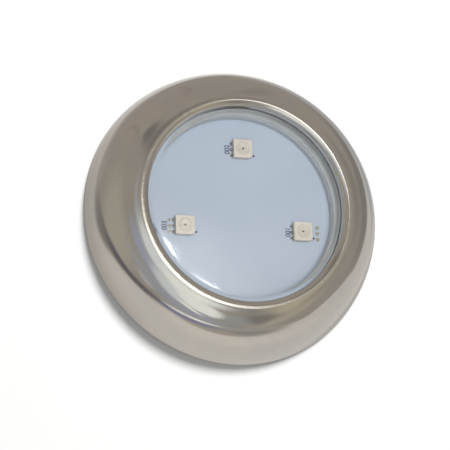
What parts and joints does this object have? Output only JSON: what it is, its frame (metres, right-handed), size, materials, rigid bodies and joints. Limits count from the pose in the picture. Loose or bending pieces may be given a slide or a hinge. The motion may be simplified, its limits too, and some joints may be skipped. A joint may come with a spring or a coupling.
{
  "type": "underwater pool light",
  "caption": "Round surface-mounted underwater light: polished flared steel bezel, clear flat lens, white board with colour LEDs, sealed housing locking on a wall bracket.",
  "frame": {"origin": "centre of the wall bracket's back face, which lies on the wall", "axes": "+Z out of the wall, the way the light shines; +X runs from the axis towards the side of LED 1, +Y towards LED 2"},
  "size_m": [0.0796, 0.0796, 0.0154],
  "materials": {
    "polished_steel": "polished stainless steel",
    "plain_steel": "plain stainless steel",
    "clear_plastic": "clear, glossy",
    "dark_rubber": "matte",
    "grey_silicone": "satin",
    "white_plastic": "satin",
    "grey_plastic": "fine moulded texture",
    "white_board": "white solder mask, satin",
    "led_package": "cream moulded plastic",
    "led_window": "clear silicone over the chips",
    "lead_metal": "tinned",
    "chip_black": "moulded black epoxy",
    "capacitor_brown": "fired ceramic",
    "nickel_brass": "nickel-plated"
  },
  "bodies": {
    "bracket": {"wall_bracket": "plain_steel"},
    "lamp": {"bezel_ring": "polished_steel", "bezel_post_1": "plain_steel", "bezel_post_2": "plain_steel", "bezel_post_3": "plain_steel", "bezel_screw_1": "plain_steel", "bezel_screw_2": "plain_steel", "bezel_screw_3": "plain_steel", "front_lens": "clear_plastic", "lip_seal": "dark_rubber", "gland_seal": "dark_rubber", "lens_gasket": "grey_silicone", "spacer_ring": "white_plastic", "lamp_housing": "grey_plastic", "led_board": "white_board", "led_1_body": "led_package", "led_2_body": "led_package", "led_3_body": "led_package", "led_1_window": "led_window", "led_2_window": "led_window", "led_3_window": "led_window", "led_1_leads": "lead_metal", "led_2_leads": "lead_metal", "led_3_leads": "lead_metal", "bridge_rectifier": "chip_black", "driver_chip": "chip_black", "red_resistor": "chip_black", "green_resistor": "chip_black", "blue_resistor": "chip_black", "input_capacitor": "capacitor_brown", "cable_gland": "nickel_brass", "gland_nut": "nickel_brass"}
  },
  "joints": [
    {"name": "bayonet_twist", "type": "hinge", "parent": "bracket", "child": "lamp", "pos_m": [0, 0, 0], "axis": [0, 0, 1], "range_deg": [0, 27]}
  ]
}
